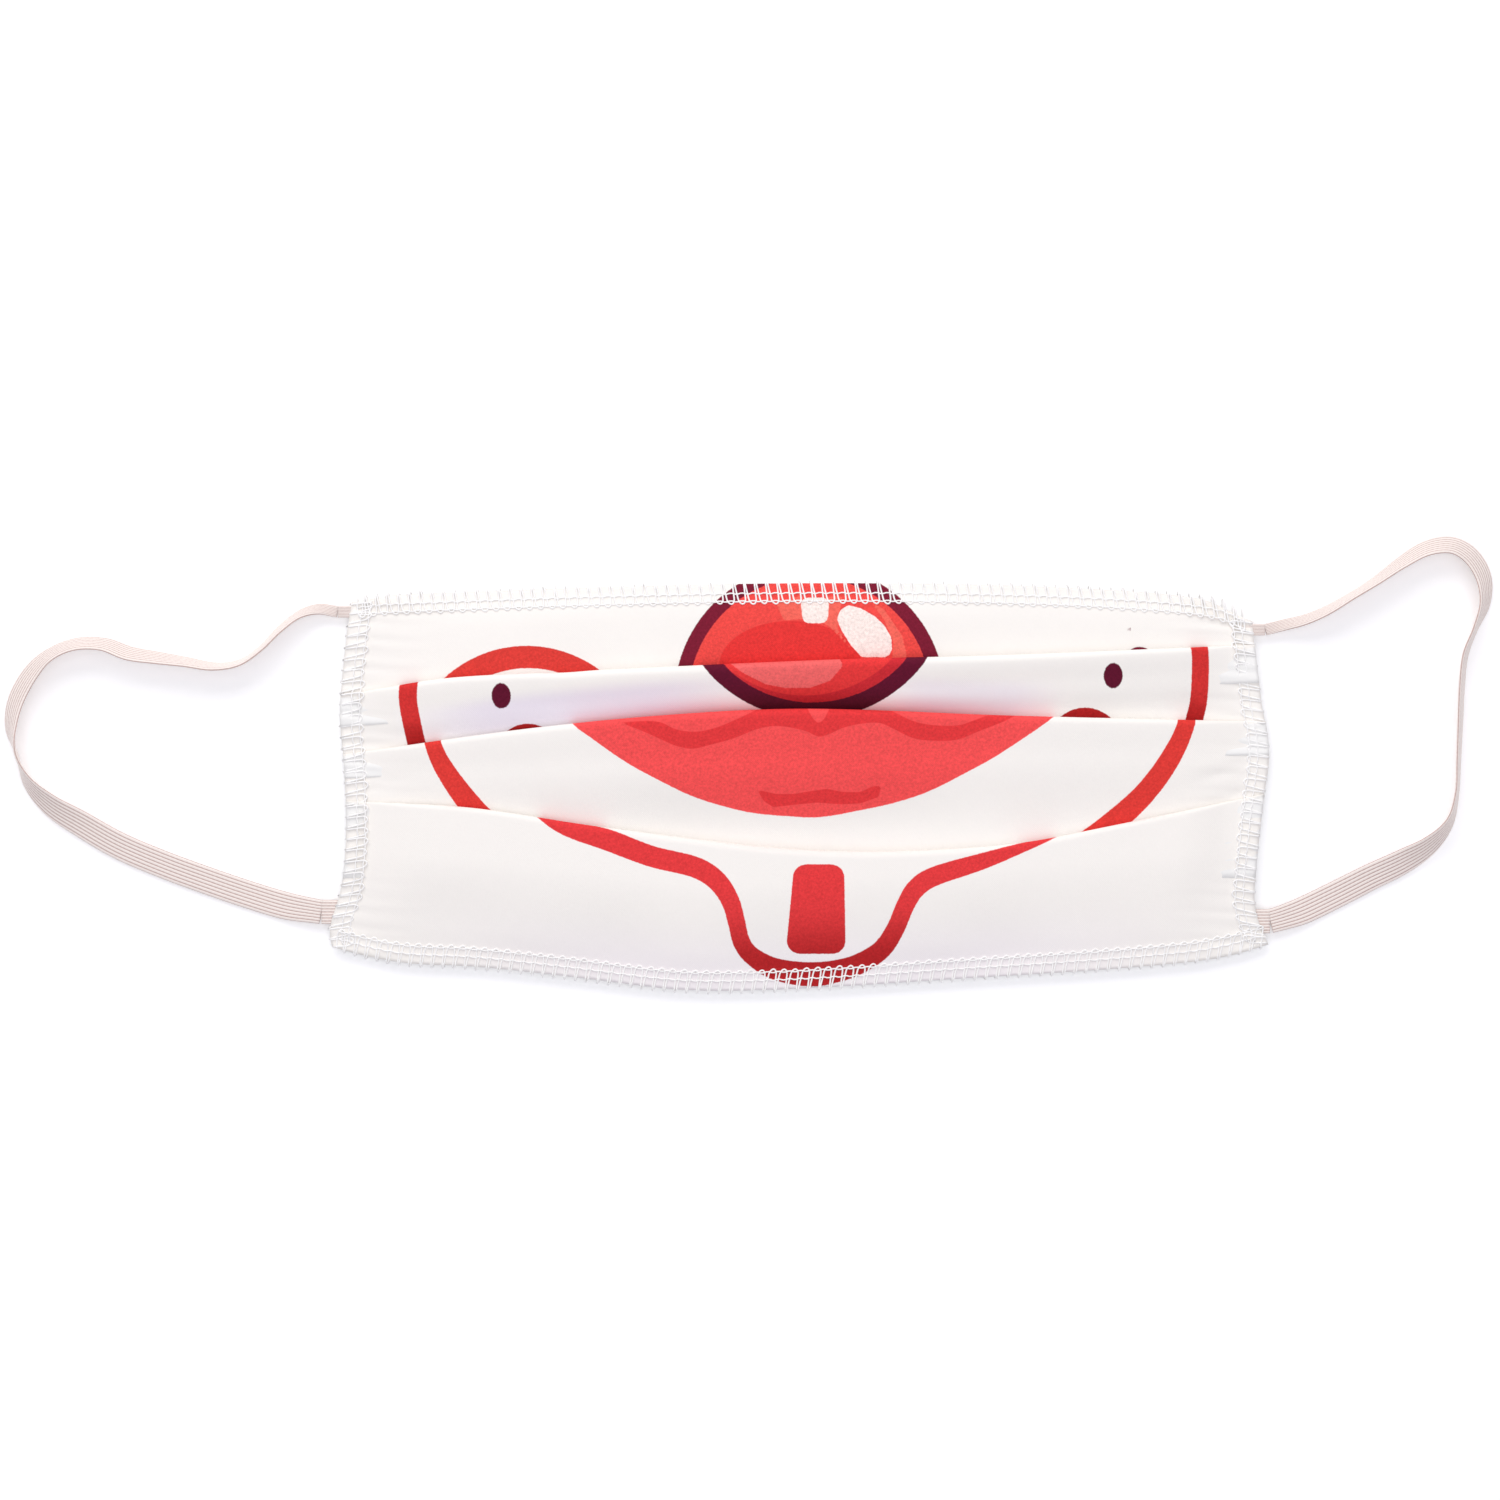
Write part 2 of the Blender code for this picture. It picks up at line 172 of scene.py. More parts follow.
def catmull(points, per_span):
    """A smooth curve through rows of numbers, with this many steps between each pair."""
    points = np.asarray(points, float)
    ends = np.vstack([2 * points[0] - points[1], points, 2 * points[-1] - points[-2]])
    t = (np.arange(per_span) / per_span)[:, None]
    spans = []
    for a, b, c, d in zip(ends, ends[1:], ends[2:], ends[3:]):
        bend = (c - a) + t * ((2 * a - 5 * b + 4 * c - d) + t * (3 * b - a - 3 * c + d))
        spans.append(b + 0.5 * t * bend)
    return np.vstack([*spans, points[-1:]])


def even_steps(points, step):
    runs = np.concatenate([[0], np.cumsum(np.linalg.norm(np.diff(points[:, :3], axis=0), axis=1))])
    count = max(int(round(runs[-1] / step)), 2)
    wanted = np.linspace(0, runs[-1], count + 1)
    return np.stack([np.interp(wanted, runs, column) for column in points.T], axis=1), wanted


def mesh_object(name, points, faces, material):
    """A piece from points in millimetres."""
    mesh = bpy.data.meshes.new(name)
    mesh.from_pydata((np.asarray(points) * MM).tolist(), [], [list(face) for face in faces])
    mesh.materials.append(material)
    mesh.shade_smooth()
    made = bpy.data.objects.new(name, mesh)
    bpy.context.scene.collection.objects.link(made)
    return made


def point_values(piece, name, values):
    attribute = piece.data.attributes.new(name, "FLOAT", "POINT")
    attribute.data.foreach_set("value", np.ascontiguousarray(values, np.float32).ravel())


def ring_faces(rings, sides):
    """Quads between rings of points laid one after another, and a face at each end."""
    i, j = np.meshgrid(np.arange(rings - 1), np.arange(sides), indexing="ij")
    i, j, k = i.ravel(), j.ravel(), (j.ravel() + 1) % sides
    corners = [i * sides + j, i * sides + k, (i + 1) * sides + k, (i + 1) * sides + j]
    first_end = list(range(sides))[::-1]
    last_end = [(rings - 1) * sides + n for n in range(sides)]
    return np.stack(corners, axis=1).tolist() + [first_end, last_end]


def elastic_section():
    """Points round the elastic's section, as (across, through), and how far up its rib each is, 0 to 1."""
    across = np.linspace(-1, 1, RIBS * 4 + 1)
    crest = np.abs(np.sin(across * RIBS / 2 * math.pi))
    edge = np.sqrt(np.clip(1 - np.abs(across) ** 6, 0, 1))
    half = (VALLEY + CREST * crest) * edge
    top = np.stack([across * ELASTIC_WIDTH / 2, half], axis=1)
    bottom = np.stack([across[::-1] * ELASTIC_WIDTH / 2, -half[::-1]], axis=1)[1:-1]
    return np.vstack([top, bottom]), np.concatenate([crest, crest[::-1][1:-1]])


def ribbon(name, path, lie, lean, width, material):
    """Flat elastic along a path, its face turned up by lie radians, its width a share of the full one."""
    along = np.gradient(path, axis=0)
    along /= np.linalg.norm(along, axis=1)[:, None]
    flat = np.stack([-along[:, 1], along[:, 0], np.zeros(len(along))], axis=1)
    flat /= np.linalg.norm(flat, axis=1)[:, None]
    up = np.cross(along, flat)
    wide = flat * np.cos(lie)[:, None] + lean * up * np.sin(lie)[:, None]
    through = np.cross(along, wide)
    section, crest = elastic_section()
    runs = np.concatenate([[0], np.cumsum(np.linalg.norm(np.diff(path, axis=0), axis=1))])
    braid = np.sin(2 * math.pi * (runs[:, None] / BRAID_PITCH + np.abs(section[:, 0]) * 0.45))
    thick = section[:, 1] * (1 + 0.08 * braid * crest)
    points = (
        path[:, None, :]
        + wide[:, None, :] * (section[:, 0] * width[:, None])[:, :, None]
        + through[:, None, :] * thick[:, :, None]
    )
    made = mesh_object(name, points.reshape(-1, 3), ring_faces(len(path), len(section)), material)
    point_values(made, "rib", np.clip(crest + 0.08 * braid, 0, 1))
    return made


def elastic_material():
    material, shader = shader_of("braided_elastic")
    tree = material.node_tree
    rib = add_node(tree, "ShaderNodeAttribute", attribute_name="rib")
    # Darker in the grooves between the ribs and lighter on their crests: painted shade.
    ramp = add_node(tree, "ShaderNodeValToRGB")
    ramp.color_ramp.elements[0].color = linear(178, 142, 134)
    ramp.color_ramp.elements[0].position = 0.05
    ramp.color_ramp.elements[1].color = linear(242, 231, 224)
    ramp.color_ramp.elements[1].position = 0.62
    tree.links.new(rib.outputs["Fac"], ramp.inputs["Fac"])
    tree.links.new(ramp.outputs["Color"], shader.inputs["Base Color"])
    fibre = add_node(tree, "ShaderNodeTexNoise")
    fibre.inputs["Scale"].default_value = 2600
    fibre.inputs["Detail"].default_value = 3
    place = add_node(tree, "ShaderNodeTexCoord")
    tree.links.new(place.outputs["Object"], fibre.inputs["Vector"])
    bump = add_node(tree, "ShaderNodeBump")
    bump.inputs["Strength"].default_value = 0.35
    bump.inputs["Distance"].default_value = 0.0002
    tree.links.new(fibre.outputs["Fac"], bump.inputs["Height"])
    tree.links.new(bump.outputs["Normal"], shader.inputs["Normal"])
    shader.inputs["Roughness"].default_value = 0.7
    shader.inputs["Sheen Weight"].default_value = 0.25
    return material


def sewn_end(word, level, side, width):
    """The last centimetre of an elastic, under its seam, and where the loop starts from it."""
    low, high = (np.array(corner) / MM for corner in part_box(f"{word}_{level}_tab"))
    middle = (low + high) / 2
    outer = high[0] if side > 0 else low[0]
    exit_at = np.array([outer + side * HINGE_OUT, middle[1], middle[2]])
    inner = exit_at - [side * (SEWN_DEEP + HINGE_OUT), 0, 0]
    path = np.linspace(inner, exit_at - [side * 0.06, 0, 0], 24)
    flat = np.zeros(len(path))
    made = ribbon(f"{word}_{level}_sewn_end", path, flat, 1, np.full(len(path), width), braided_elastic)
    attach(made, "mask_body")
    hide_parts(f"{word}_{level}_tab")
    return exit_at


def ear_elastic(word, side, route):
    """One loop from its upper sewn end to its lower one."""
    start, end = sewn_end(word, "upper", side, UPPER_WIDTH), sewn_end(word, "lower", side, LOWER_WIDTH)
    route = np.array(route, float)
    share = np.linspace(0, 1, len(route))[:, None]
    plan = start[:2] + route[:, :2] * [side, 1]
    plan = plan + share * (end[:2] - plan[-1])
    points = catmull(np.column_stack([plan, route[:, 2]]), 16)
    run = np.concatenate([[0], np.cumsum(np.linalg.norm(np.diff(points[:, :2], axis=0), axis=1))])
    from_seam = np.minimum(run, run[-1] - run)
    lie = np.radians(points[:, 2])
    width = LOWER_WIDTH + (1 - LOWER_WIDTH) * smoothstep(0, GATHER, run[-1] - run)
    width *= UPPER_WIDTH + (1 - UPPER_WIDTH) * smoothstep(0, 2 * GATHER, run)
    resting = np.sin(lie) * width * ELASTIC_WIDTH / 2 + np.cos(lie) * ELASTIC_THICKNESS / 2 + 0.05
    ease = smoothstep(0, 2 * ELASTIC_WIDTH, from_seam)
    height = np.maximum(start[2] + ease * (resting - start[2]), resting)
    centre, runs = even_steps(np.column_stack([points[:, :2], height, lie, width]), RING_STEP)
    path = centre[:, :3]
    made = ribbon(word + "_elastic", path, centre[:, 3], -side, centre[:, 4], braided_elastic)
    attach(made, word + "_ear_loop")
    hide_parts(word + "_ear_elastic")


braided_elastic = elastic_material()
ear_elastic("left", -1, LEFT_LOOP)
ear_elastic("right", 1, RIGHT_LOOP)


# Outer fabric. One piece of plain-woven white cotton, printed, laid in three knife pleats whose folded edges
# point to the nose edge, and caught in the seams all round. It is made as a panel and three pleats that meet
# at the hidden inner folds.

COLUMNS = 230
CLOTH = 0.3
LAYER = 0.5  # from one layer of cloth up to the next one lying on it
SEAM_HEIGHT = 1.9  # of the face of the cloth above the table, where a seam pinches it
LOFT = 0.6  # how much higher it lies away from the seams
DIMPLES = ((90.5, 2.6, 0.5), (93.5, -2.6, 0.45), (91.5, 6.0, -0.3), (-92.0, 1.0, 0.3))  # x, y and depth


def rim_line(node, axis, highest):
    """The rim of a frame piece: (places along an axis, how far it reaches the other way at each)."""
    points = np.array([v.co for v in frame["nodes"][node].data.vertices]) / MM
    points = points[np.argsort(points[:, axis])]
    columns = np.split(points, np.nonzero(np.diff(points[:, axis]) > 1.0)[0] + 1)
    sign = 1 if highest else -1
    rim = np.array([column[np.argmax(sign * column[:, 1 - axis])] for column in columns])
    return rim[:, axis], rim[:, 1 - axis]


def smooth_line(places, values, reach):
    """A function through these places, smoothed over a reach of millimetres."""
    fine = np.arange(places[0] - 12, places[-1] + 12, 0.5)
    inner = np.interp(fine, places, values)
    for end, next_in, beyond in ((0, 1, fine < places[0]), (-1, -2, fine > places[-1])):
        slope = np.clip((values[next_in] - values[end]) / (places[next_in] - places[end]), -0.3, 0.3)
        inner[beyond] = values[end] + slope * (fine[beyond] - places[end])
    window = np.hanning(int(2 * reach / 0.5) + 3)
    kept = np.convolve(inner, window / window.sum(), "same")
    half = len(window) // 2
    kept[:half], kept[-half:] = inner[:half], inner[-half:]
    return lambda at: np.interp(at, fine, kept)


left_y, left_x = rim_line("left_overlock", 1, False)
right_y, right_x = rim_line("right_overlock", 1, True)
left_edge = smooth_line(left_y, left_x, 4)
right_edge = smooth_line(right_y, right_x, 4)
top_x, top_y = rim_line("top_overlock", 0, True)
bottom_x, bottom_y = rim_line("bottom_overlock", 0, False)
top_edge = smooth_line(np.r_[left_x[-1], top_x, right_x[-1]], np.r_[left_y[-1], top_y, right_y[-1]], 5)
bottom_edge = smooth_line(np.r_[left_x[0], bottom_x, right_x[0]], np.r_[left_y[0], bottom_y, right_y[0]], 5)

folds, hinges = {}, {}
for pleat in ("upper_pleat", "middle_pleat", "chin_pleat"):
    folds[pleat] = smooth_line(*rim_line(pleat + "_outer", 0, True), 6)
for joint in frame["joints"]:
    if joint["child"] in folds:
        place, axis = np.array(joint["pos_m"]) / MM, joint["axis"]
        hinges[joint["child"]] = (lambda x, p=place, a=axis: p[1] + (x - p[0]) * a[1] / a[0])
HALF = right_edge(0)


def at_edges(u, y):
    """The place across the mask of a thread at share u of its width, at this height."""
    return np.where(u < 0, -u * left_edge(y), u * right_edge(y))


def seam(x):
    """0 inside the mask and 1 at its side seams."""
    return smoothstep(84, 99, np.abs(x))


def ripple(x, y):
    """The slow unevenness of cloth that has been folded and pressed."""
    return (
        0.16 * np.sin(x / 13.0 + 0.5 * np.sin(y / 9.0))
        + 0.12 * np.sin(x / 7.1 - y / 11.0 + 1.3)
        + 0.08 * np.sin(x / 4.3 + y / 6.0 + 0.4)
    )


def puckers(x, y):
    """Short gathers that run in from the side seams, where the overlock has drawn the cloth up."""
    side = smoothstep(78, 99, np.abs(x))
    drawn = side * (0.11 * np.sin(y * 1.9 + np.sin(x / 5)) + 0.06 * np.sin(y * 3.1 + 0.8 + x / 7))
    for middle_x, middle_y, depth in DIMPLES:
        along, across = (x - middle_x) / 4.5, (y - middle_y - 0.25 * (x - middle_x)) / 1.2
        drawn = drawn - depth * np.exp(-along * along - across * across)
    return drawn


def base_height(x, y):
    """A single layer of the outer fabric, pinched down at the seams all round."""
    pinch = smoothstep(0, 8, top_edge(x) - y) * smoothstep(0, 9, y - bottom_edge(x))
    return SEAM_HEIGHT + pinch * (LOFT + ripple(x, y)) - 0.2 * seam(x) + puckers(x, y)


def roll(x, radius):
    """The radius of a folded edge: full in the middle, flattened towards its sewn ends."""
    return radius * (0.5 + 0.5 * (1 - (x / 100) ** 2)) * (1 - 0.72 * seam(x))


def gap(x):
    return LAYER - 0.15 * seam(x)


def upper_height(x, y):
    t = (y - hinges["upper_pleat"](x)) / (top_edge(x) - hinges["upper_pleat"](x))
    return base_height(x, y) + 0.7 * np.sin(np.clip(t, 0, 1) * math.pi) * (1 - seam(x))


def pleat_height(under, pleat, radius, fall, floor_share):
    """The top of a pleat and its panel. It rolls over its folded edge and comes down past its hinge."""
    fold, hinge = folds[pleat], hinges[pleat]

    def height(x, y):
        crown = under(x, fold(x)) + gap(x) + 2 * roll(x, radius)
        held = smoothstep(hinge(x) - fall, hinge(x) + 1.5, y)
        slope = floor_share + (1 - floor_share) * smoothstep(hinge(x), fold(x), y)
        base = base_height(x, y)
        return base + (crown - base) * held * slope

    return height


strip_height = pleat_height(upper_height, "upper_pleat", 1.5, 6, 0.55)
middle_height = pleat_height(strip_height, "middle_pleat", 1.3, 15, 0.7)


def chin_height(x, y):
    fold = folds["chin_pleat"](x)
    crown = middle_height(x, fold) + gap(x) + 2 * roll(x, 1.2)
    base = base_height(x, y)
    return base + (crown - base) * smoothstep(bottom_edge(x) + 3, bottom_edge(x) + 24, y)


def panel_top(x, y):
    """The height of the cloth that shows at this place."""
    return np.where(
        y > folds["upper_pleat"](x), upper_height(x, y),
        np.where(
            y > folds["middle_pleat"](x), strip_height(x, y),
            np.where(y > folds["chin_pleat"](x), middle_height(x, y), chin_height(x, y)),
        ),
    )


def cloth_mesh(name, rows, material):
    """rows is [(y, z)], each an array over the columns u."""
    u = np.linspace(-1, 1, COLUMNS)
    grid = np.stack([np.stack([at_edges(u, y), y, z], axis=1) for y, z in rows])
    count = len(rows)
    i, j = np.meshgrid(np.arange(count - 1), np.arange(COLUMNS - 1), indexing="ij")
    first = (i * COLUMNS + j).ravel()
    faces = np.stack([first, first + COLUMNS, first + COLUMNS + 1, first + 1], axis=1).tolist()
    made = mesh_object(name, grid.reshape(-1, 3), faces, material)
    return made, grid


def flat_rows(low, high, height, count):
    x = np.linspace(-1, 1, COLUMNS) * HALF
    rows = []
    for v in np.linspace(0, 1, count):
        y = low(x) + v * (high(x) - low(x))
        rows.append((y, height(x, y)))
    return rows


def pleat_rows(pleat, under, over, low, radius, inset, counts):
    """From the inner fold up under the pleat, round its folded edge and down its panel to the line low."""
    x = np.linspace(-1, 1, COLUMNS) * HALF
    fold, hinge = folds[pleat](x), hinges[pleat](x)
    turn = roll(x, radius) - inset
    crown = over(x, fold)
    bottom_of_roll = crown - inset - 2 * turn
    rows = [(hinge - inset, under(x, hinge) - inset * 1.5)]
    for v in np.linspace(0, 1, counts[0]):
        y = hinge + v * (fold - inset - turn - hinge)
        lying = under(x, y) + gap(x) + inset
        rows.append((y, lying + (bottom_of_roll - lying) * smoothstep(0.55, 1, v)))
    for a in np.linspace(-90, 90, counts[1])[1:-1]:
        angle = math.radians(a)
        y = fold - inset - turn + turn * math.cos(angle)
        rows.append((y, bottom_of_roll + turn * (1 + math.sin(angle))))
    for v in np.linspace(0, 1, counts[2]) ** 1.15:
        y = fold - inset - turn + v * (low(x) - (fold - inset - turn))
        rows.append((y, over(x, np.minimum(y + inset, fold)) - inset))
    return rows


# The print is a wide painted grin with a round nose above it, in flat red, coral and maroon inks. Each ink
# is kept as how far a point lies inside its outline, in millimetres, and the material makes its edge there.
# The strip and the chin also carry tones of painted shade and reflected light, 0 to 1.


def ellipse(x, y, centre, radii):
    dx, dy = (x - centre[0]) / radii[0], (y - centre[1]) / radii[1]
    return (1 - np.sqrt(dx * dx + dy * dy)) * min(radii)


def polygon(x, y, corners, rounding=0.0):
    """How far inside a rounded polygon each point lies, its corners given without the rounding."""
    distance = np.full(np.shape(x), 1e9)
    inside = np.zeros(np.shape(x), bool)
    for (ax, ay), (bx, by) in zip(corners, corners[1:] + corners[:1]):
        dx, dy = bx - ax, by - ay
        t = np.clip(((x - ax) * dx + (y - ay) * dy) / (dx * dx + dy * dy), 0, 1)
        distance = np.minimum(distance, np.hypot(x - ax - t * dx, y - ay - t * dy))
        crosses = (ay > y) != (by > y)
        with np.errstate(divide="ignore", invalid="ignore"):
            inside ^= crosses & (x < (bx - ax) * (y - ay) / (by - ay) + ax)
    return np.where(inside, distance, -distance) + rounding


def stroke(x, y, line):
    """How far inside a brush stroke each point lies. line is (x, y, half width) along its middle."""
    line = catmull(line, 8)
    best = np.full(np.shape(x), -1e9)
    for (ax, ay, aw), (bx, by, bw) in zip(line, line[1:]):
        dx, dy = bx - ax, by - ay
        t = np.clip(((x - ax) * dx + (y - ay) * dy) / (dx * dx + dy * dy + 1e-12), 0, 1)
        best = np.maximum(best, aw + t * (bw - aw) - np.hypot(x - ax - t * dx, y - ay - t * dy))
    return best


def above_line(x, y, points):
    """How far above a smooth curve of (x, y) points each point lies."""
    curve = catmull(points, 8)
    rise = np.interp(x, curve[:, 0], curve[:, 1])
    slope = np.interp(x, curve[:, 0], np.gradient(curve[:, 1]) / np.gradient(curve[:, 0]))
    return (y - rise) / np.sqrt(1 + slope * slope)


def joined(*shapes):
    return np.maximum.reduce(shapes)


NOTHING = -50.0
INKS = ["ring", "nose", "nose_deep", "nose_pale", "shine", "band", "lips", "lips_deep"]
# Tones are painted light carried as colour, 0 to 1: a painted lavender shade, a painted pink of red light
# reflected from the lips with shade, and painted shade that darkens the inks.
PAINTED_TONES = ["cool", "warm", "dusk"]


def between(y, low, high):
    """1 between two heights, easing to 0 over a third of the way at each."""
    third = (high - low) / 3
    return smoothstep(low, low + third, y) * (1 - smoothstep(high - third, high, y))


def inks_of_upper(x, y):
    nose = ellipse(x, y, (2.3, 19.4), (26.4, 26.4))
    return {
        "ring": joined(
            ellipse(x, y, (2.3, 19.4), (29.5, 29.3)),
            ellipse(x, y, (71.8, 34.4), (0.45, 0.6)),
            ellipse(x, y, (74.1, 28.7), (2.6, 1.9)),
        ),
        "nose": nose,
        "nose_deep": np.minimum(nose - 1.2, ellipse(x, y, (-1.9, 26.5), (15.5, 9.7))),
        "nose_pale": joined(
            polygon(x, y, [(-5.0, 39.9), (0.8, 42.0), (1.4, 36.7), (-3.3, 36.3)]),
            polygon(x, y, [
                (5.6, 41.5), (9.4, 41.5), (8.3, 34.6), (12.9, 28.4), (11.9, 29.3), (6.8, 34.8),
                (4.6, 36.2),
            ]),
            polygon(x, y, [
                (15.0, 41.0), (18.4, 36.6), (20.6, 31.4), (20.2, 28.0), (23.6, 28.0), (22.4, 33.0),
                (18.6, 38.6),
            ]),
        ),
        "shine": joined(
            polygon(x, y, [(1.9, 39.8), (5.0, 39.8), (4.8, 37.2), (2.2, 37.2)], 1.5),
            polygon(x, y, [
                (9.2, 36.7), (9.8, 38.1), (10.8, 38.7), (13.1, 38.1), (15.9, 36.5), (17.9, 34.6),
                (19.2, 32.2), (19.3, 30.2), (18.8, 29.2), (14.0, 29.2), (12.1, 31.3), (10.0, 34.6),
            ], 0.9),
        ),
        "band": np.minimum(
            ellipse(x, y, (-59.3, 4.6), (26.4, 26.2)), -ellipse(x, y, (-58.9, 4.2), (22.0, 21.7))
        ),
    }


def inks_and_painted_shade_of_strip(x, y):
    nose = ellipse(x, y, (2.8, 45.3), (26.8, 26.8))
    lying = folds["middle_pleat"](x)
    reflection_over_lips = between(x, -56, 62)
    shade_on_left, shade_on_right = between(x, -92, -6), 0.6 * between(x, 14, 60)
    return {
        "ring": joined(
            ellipse(x, y, (2.8, 45.3), (30.4, 30.4)),
            ellipse(x, y, (-64.7, 19.9), (2.1, 2.8)),
            ellipse(x, y, (68.2, 24.3), (2.1, 2.8)),
        ),
        "nose": nose,
        "nose_deep": np.minimum(nose, -ellipse(x, y, (1.2, 46.6), (26.6, 26.6))),
        "nose_pale": np.minimum(nose - 0.8, polygon(x, y, [
            (-16.8, 28.6), (7.2, 29.6), (8.9, 26.5), (6.4, 23.6), (2.2, 22.1), (-3.1, 22.1), (-7.2, 22.9),
            (-12.0, 25.3),
        ], 0.5)),
        "band": joined(
            stroke(x, y, [(-83.6, 30.0, 2.0), (-84.8, 22.5, 2.0), (-85.0, 18.8, 2.0), (-84.4, 14.8, 2.0),
                          (-83.3, 9.4, 2.0), (-81.6, 2.0, 2.0)]),
            stroke(x, y, [(86.0, 36.0, 1.9), (86.9, 30.7, 1.9), (87.2, 25.9, 1.9), (87.0, 18.9, 1.9),
                          (86.0, 14.2, 1.9), (84.5, 8.0, 1.9)]),
            ellipse(x, y, (-59.0, 6.6), (7.3, 7.3)),
            ellipse(x, y, (62.3, 9.3), (8.1, 8.1)),
        ),
        # Painted shade carried as colour: lavender on the slope above the middle fold, pink of red light
        # reflected from the lips with shade just above that fold, and inks darkened towards it.
        "cool": between(y, lying - 2, lying + 9) * np.where(x < 0, shade_on_left, shade_on_right),
        "warm": (1 - smoothstep(0.5, 5.0, y - lying)) * reflection_over_lips,
        "dusk": 1 - smoothstep(0, 7.0, y - lying),
    }


def inks_of_middle(x, y):
    lips = above_line(x, y, [
        (-58, 22), (-49.7, 14.1), (-45.0, 10.6), (-37.7, 5.5), (-30.4, 1.5), (-23.1, -2.0),
        (-15.8, -4.3), (-10.0, -5.6), (-2.7, -6.3), (4.6, -6.5), (13.3, -5.0), (20.6, -3.4),
        (27.9, -1.0), (35.2, 2.6), (42.5, 6.6), (49.8, 11.4), (55.6, 15.4), (64, 21.5),
    ])
    under_lip = above_line(x, y, [
        (-60, 17), (-44, 15.4), (-35.5, 12.8), (-30.4, 10.6), (-26.7, 9.0), (-23.1, 8.4), (-19.5, 9.2),
        (-14.4, 10.6), (-9.3, 12.6), (-5.6, 13.3), (-2.0, 13.0), (1.7, 12.1), (4.2, 11.0), (6.8, 11.7),
        (9.7, 13.0), (14.1, 13.9), (17.7, 13.9), (20.6, 12.6), (25.0, 10.6), (30.1, 10.1), (34.5, 10.4),
        (38.8, 12.1), (44.7, 14.4), (50, 16.6), (62, 20),
    ])
    upper_lip = above_line(x, y, [
        (-60, 13.0), (-40, 14.0), (-31.1, 14.3), (-26.7, 12.6), (-22.4, 12.1), (-18.0, 13.0),
        (-13.6, 14.8), (-9.3, 16.7), (-4, 19), (0.2, 19), (4.2, 14.0), (8.2, 19), (14, 19), (20.6, 16.2),
        (25.0, 14.3), (29.4, 13.5), (34.5, 13.5), (38.1, 14.6), (41.8, 15.6), (50, 15.8), (62, 16),
    ])
    return {
        "lips": np.where(np.abs(x - 3) < 61, lips, NOTHING),
        "lips_deep": joined(
            np.minimum(np.minimum(under_lip, -upper_lip), lips - 0.4),
            polygon(x, y, [
                (-8.9, -0.6), (-5.2, -1.5), (-1.2, -1.5), (3.1, -0.8), (6.0, -0.4), (9.7, -1.1),
                (13.3, -1.1), (16.0, 0.2), (17.7, 0.2), (17.2, -2.0), (13.3, -3.4), (9.0, -3.6),
                (3.9, -3.2), (-1.2, -3.7), (-5.6, -4.2), (-7.8, -2.8),
            ], 0.1),
        ),
        "band": joined(
            stroke(x, y, [(-81.4, 17.0, 1.8), (-79.6, 9.6, 1.8), (-76.9, 3.7, 2.1), (-70.9, -4.6, 2.5),
                          (-64.0, -11.5, 2.5)]),
            stroke(x, y, [(85.2, 22.0, 1.9), (84.2, 14.2, 1.9), (80.9, 6.6, 2.2), (75.1, -1.5, 2.4),
                          (67.5, -8.5, 2.6), (60.0, -14.0, 2.6)]),
        ),
    }


def inks_and_painted_shade_of_chin(x, y):
    edge = bottom_edge(x)
    return {
        "band": joined(
            stroke(x, y, [(-57.0, -6.4, 0.2), (-50.7, -8.9, 1.6), (-41.3, -11.6, 2.3), (-32.1, -15.0, 2.3),
                          (-22.8, -17.3, 2.3), (-18.0, -20.2, 2.2), (-15.0, -24.6, 2.0), (-13.6, -29.4, 1.9),
                          (-12.6, -33.5, 1.9), (-10.4, -36.6, 2.0), (-5.2, -39.6, 2.4), (2.8, -40.8, 2.7),
                          (10.1, -39.6, 2.4), (15.1, -37.4, 2.2), (18.6, -34.6, 2.1), (21.2, -30.2, 2.0),
                          (23.0, -25.8, 2.0), (25.3, -22.0, 2.1), (29.4, -19.3, 2.1), (39.6, -16.1, 1.8),
                          (49.4, -12.9, 0.9), (57.3, -10.4, 0.0)]),
            polygon(x, y, [(1.5, -19.6), (6.9, -19.6), (7.2, -33.4), (0.2, -33.4)], 2.9),
        ),
        # Painted shade carried as colour: lavender near the bottom seam, where the cloth curves down, and
        # inks darkened towards it.
        "cool": 0.5 * (1 - smoothstep(2, 18, y - edge)) * between(x, -95, 100),
        "dusk": 1 - smoothstep(6, 19, y - edge),
    }


def print_on(piece, grid, inks, turned_rows, pleat):
    """Writes each ink, and each tone of painted shade, on a piece. Rows under a folded edge carry the print
    on past the fold.
    """
    x, y = grid[:, :, 0], grid[:, :, 1].copy()
    if turned_rows:
        fold = folds[pleat](x[:turned_rows])
        y[:turned_rows] = 2 * fold - y[:turned_rows]
    found = inks(x, y)
    for ink in INKS:
        point_values(piece, "ink_" + ink, np.broadcast_to(found.get(ink, NOTHING), x.shape))
    for tone in PAINTED_TONES:
        point_values(piece, "tone_" + tone, np.broadcast_to(found.get(tone, 0.0), x.shape))


